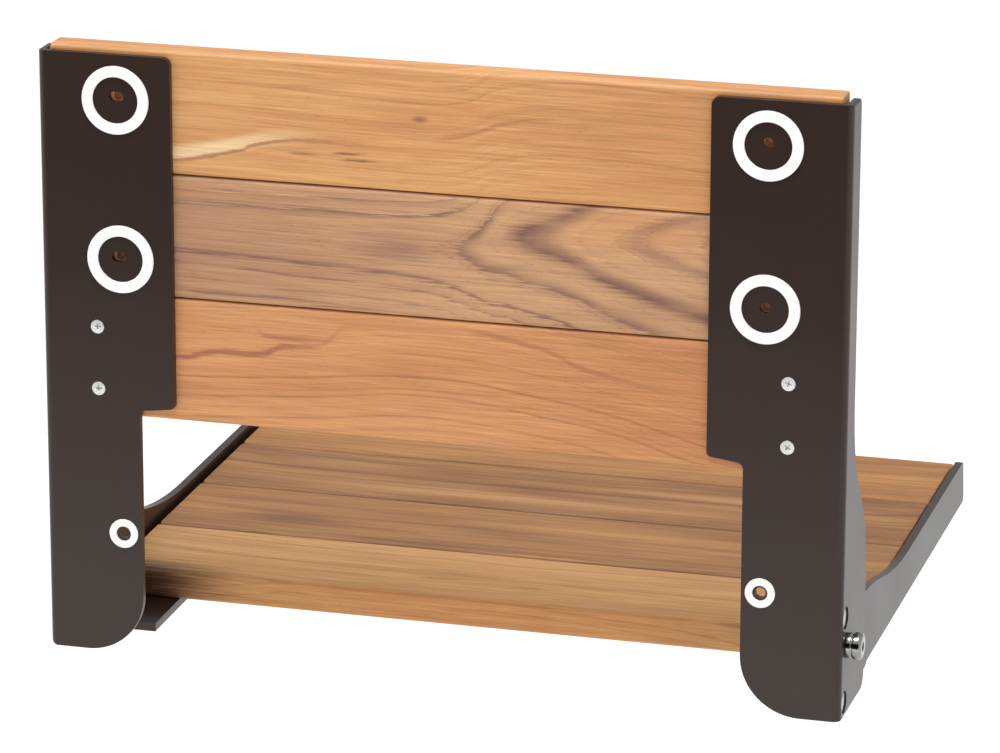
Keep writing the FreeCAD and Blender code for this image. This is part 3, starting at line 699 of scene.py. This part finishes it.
UPRIGHT = (0, 0, 0)            # turns that point a piece's crown
FACING_WALL = (-90, 0, 0)
FACING_DOWN = (180 - SEAT_SLOPE, 0, 0)
FACING_OUT = {1: (0, 90, 0), -1: (0, -90, 0)}
ANY_SPIN = 6.28                # radians; a screw or dowel may stop at any angle


def placing_tree():
    """Node tree that sets one piece at every point, turned as the point says and then spun
    by chance about its own axis."""
    tree = bpy.data.node_groups.new("place_pieces", "GeometryNodeTree")
    for name, kind in (("Points", "Geometry"), ("Piece", "Object"), ("Finish", "Material"),
                       ("Spin", "Float"), ("Seed", "Int")):
        tree.interface.new_socket(name, in_out="INPUT", socket_type="NodeSocket" + kind)
    tree.interface.new_socket("Pieces", in_out="OUTPUT", socket_type="NodeSocketGeometry")
    given = tree.nodes.new("NodeGroupInput").outputs
    turn = put(tree, "GeometryNodeInputNamedAttribute", {"Name": "turn"}, data_type="FLOAT_VECTOR")
    piece = put(tree, "GeometryNodeObjectInfo", {"Object": given["Piece"]})
    spun = put(tree, "FunctionNodeRandomValue", {2: 0.0, 3: given["Spin"], "Seed": given["Seed"]},
               data_type="FLOAT").outputs[1]
    about = put(tree, "ShaderNodeCombineXYZ", {2: spun}).outputs[0]
    placed = put(tree, "GeometryNodeInstanceOnPoints",
                 {"Points": given["Points"], "Instance": piece.outputs["Geometry"],
                  "Rotation": turn.outputs["Attribute"]})
    spin = put(tree, "GeometryNodeRotateInstances",
               {"Instances": placed.outputs[0], "Rotation": about, "Local Space": True})
    whole = put(tree, "GeometryNodeRealizeInstances", {0: spin.outputs[0]})
    finished = put(tree, "GeometryNodeSetMaterial",
                   {0: whole.outputs[0], "Material": given["Finish"]})
    last = tree.nodes.new("NodeGroupOutput")
    tree.links.new(finished.outputs[0], last.inputs[0])
    return tree


PLACING = placing_tree()


def place_pieces(name, piece_mesh, places, body, slot_name, node, spin=0.0, seed=1):
    """One mesh of the same piece at many places: (position in millimetres, turn in degrees)."""
    points = bpy.data.meshes.new(name + "_points")
    points.from_pydata([Vector(spot) * MM for spot, _ in places], [], [])
    turns = points.attributes.new("turn", "FLOAT_VECTOR", "POINT")
    for item, (_, turn) in zip(turns.data, places):
        item.vector = [math.radians(value) for value in turn]
    holder = bpy.data.objects.new(name + "_holder", points)
    piece = bpy.data.objects.new(name + "_one", piece_mesh)
    for thing in (holder, piece):
        bpy.context.scene.collection.objects.link(thing)
    step = holder.modifiers.new("place", "NODES")
    step.node_group = PLACING
    chosen = {"Piece": piece, "Finish": FINISHES[slot_name], "Spin": spin, "Seed": seed}
    for item in PLACING.interface.items_tree:
        if item.in_out == "INPUT" and item.name in chosen:
            step[item.identifier] = chosen[item.name]
    mesh = finished_mesh(holder)
    mesh.name = name
    for thing in (holder, piece):
        bpy.data.objects.remove(thing)
    show(name, mesh, body, [node])


def box_of(verts):
    """Lowest and highest corner round some mesh points, in millimetres."""
    return [[end(vert.co[axis] for vert in verts) / MM for axis in range(3)] for end in (min, max)]


def islands(node):
    """Boxes of a CAD node's separate solids, in millimetres."""
    shape = welded(frame["nodes"][node].data)
    left = set(shape.verts)
    boxes = []
    while left:
        found = set()
        edge = [next(iter(left))]
        while edge:
            vert = edge.pop()
            if vert not in found:
                found.add(vert)
                edge += [link.other_vert(vert) for link in vert.link_edges]
        left -= found
        boxes.append(box_of(found))
    shape.free()
    return sorted(boxes)


def middle(box):
    return [(low + high) / 2 for low, high in zip(*box)]


def back_screws(side, sign):
    node = side + "_back_slat_screws"
    places = []
    for box in islands(node):
        x, _, z = middle(box)
        places.append(((x, box[1][1], z), FACING_WALL))
    place_pieces(side + "_back_screws", turned("back_screw", BACK_SCREW, sides=96), places,
                 "wall_frame", "screw_steel", node, spin=ANY_SPIN, seed=4 + sign)


def rivets(side, sign):
    node = side + "_pad_rivets"
    places = []
    for box in islands(node):
        _, y, z = middle(box)
        places.append(((sign * RIVET_CROWN, y, z), FACING_OUT[sign]))
    place_pieces(side + "_rivets", turned("rivet", RIVET, sides=64), places,
                 "wall_frame", "rivet_steel", node)


def seat_screws(side, sign):
    node = side + "_seat_slat_screws"
    boxes = islands(node)
    length = max(high[2] - low[2] for low, high in boxes)
    places = []
    for box in boxes:
        x, y, _ = middle(box)
        places.append(((x, y, box[0][2]), FACING_DOWN))
    place_pieces(side + "_seat_screws", turned("seat_screw", seat_screw(length)), places,
                 "seat", "screw_steel", node, spin=ANY_SPIN, seed=8 + sign)


def pivot_bolt(side, sign):
    head = LOW_HEAD if sign > 0 else STEPPED_HEAD
    places = [((sign * BOLT_SEAT, HINGE_DEPTH, HINGE_HEIGHT), FACING_OUT[sign])]
    place_pieces(side + "_bolt", turned("bolt", BOLT_SHANK + head, sides=96), places,
                 "wall_frame", "polished_steel", side + "_pivot_bolt")


def disc_springs(side, sign):
    """Two springs with their wide ends together."""
    inner, outer = SPRING_FACES
    places = [((sign * inner, HINGE_DEPTH, HINGE_HEIGHT), FACING_OUT[sign]),
              ((sign * outer, HINGE_DEPTH, HINGE_HEIGHT), FACING_OUT[-sign])]
    place_pieces(side + "_springs", turned("disc_spring", DISC_SPRING, sides=64, hollow=True),
                 places, "wall_frame", "spring_steel", side + "_disc_springs")


def dowels(row):
    node = row + "_back_dowels"
    places = [(middle(box), UPRIGHT) for box in islands(node)]
    place_pieces(row + "_dowels", turned("dowel", DOWEL, sides=40), places,
                 "wall_frame", "dowel_wood", node, spin=ANY_SPIN, seed=3)


for side, sign in SIDES:
    back_screws(side, sign)
    rivets(side, sign)
    seat_screws(side, sign)
    pivot_bolt(side, sign)
    disc_springs(side, sign)
for row in ("lower", "upper"):
    dowels(row)


# ---- studio ----

FLOOR_HEIGHT = -0.46           # metres; the seat hangs over it as it does on a wall
FLOOR_SIZE = 30
FLOOR_GLOW = 0.65
ROOM_GLOW = 0.74
CARD_FOOT = -0.5               # on a card that is 1 high, from its middle
CARD_FADE = -0.16              # where the foot's glow has turned into the top's


def make_floor():
    bpy.ops.mesh.primitive_plane_add(size=FLOOR_SIZE, location=(0, 0, FLOOR_HEIGHT))
    floor = bpy.context.object
    floor.name = "floor"
    material, _, shader = new_material("pale_floor")
    shader.inputs["Base Color"].default_value = (0.5, 0.5, 0.5, 1)
    shader.inputs["Roughness"].default_value = 0.9
    shader.inputs["Emission Color"].default_value = WHITE
    shader.inputs["Emission Strength"].default_value = FLOOR_GLOW
    floor.data.materials.append(material)


def glowing_black(name, foot_glow, top_glow):
    """Black that glows by so much at its foot and so much at its top."""
    material, tree, shader = new_material(name)
    height = put(tree, "ShaderNodeSeparateXYZ", {0: object_place(tree)}).outputs[1]
    glow = spread(tree, height, CARD_FOOT, CARD_FADE, foot_glow, top_glow)
    tree.links.new(glow, shader.inputs["Emission Strength"])
    shader.inputs["Emission Color"].default_value = WHITE
    shader.inputs["Base Color"].default_value = BLACK
    shader.inputs["Roughness"].default_value = 1.0
    shader.inputs["Specular IOR Level"].default_value = 0.0
    return material


def dark_card(name, place, size, foot_glow, top_glow):
    """Upright card that only shiny surfaces see."""
    bpy.ops.mesh.primitive_plane_add(size=1, location=place, rotation=(math.pi / 2, 0, 0))
    card = bpy.context.object
    card.name = name
    card.scale = (*size, 1)
    card.data.materials.append(glowing_black(name, foot_glow, top_glow))
    card.visible_camera = False
    card.visible_diffuse = False
    card.visible_shadow = False
    card.visible_transmission = False


def area_lamp(name, place, size, power):
    """Rectangular lamp that faces straight down and doesn't show itself."""
    light = bpy.data.lights.new(name, "AREA")
    light.shape = "RECTANGLE"
    light.size, light.size_y = size
    light.energy = power
    lamp = bpy.data.objects.new(name, light)
    lamp.location = place
    lamp.visible_camera = False
    bpy.context.scene.collection.objects.link(lamp)
    return lamp


def make_light():
    world = bpy.data.worlds.new("world")
    bpy.context.scene.world = world
    world.use_nodes = True
    room = world.node_tree.nodes["Background"]
    room.inputs["Color"].default_value = WHITE
    room.inputs["Strength"].default_value = ROOM_GLOW
    softbox = area_lamp("overhead_softbox", place=(-0.2, 0.45, 2.2), size=(1.3, 0.8), power=26.0)
    softbox.rotation_euler = (-softbox.location).to_track_quat("-Z", "Y").to_euler()
    strip = area_lamp("edge_strip", place=(0.45, 0.51, 2.0), size=(1.6, 0.2), power=95.0)
    strip.visible_diffuse = False
    bpy.context.scene.view_settings.view_transform = "Standard"


make_camera()
make_floor()
make_light()
dark_card("camera_side_card", (0.3, 1.0, 0.1), (3.2, 1.2), foot_glow=2.6, top_glow=0.0)
dark_card("front_card", (0.3, -1.3, 0.7), (3.2, 1.4), foot_glow=0.55, top_glow=0.55)
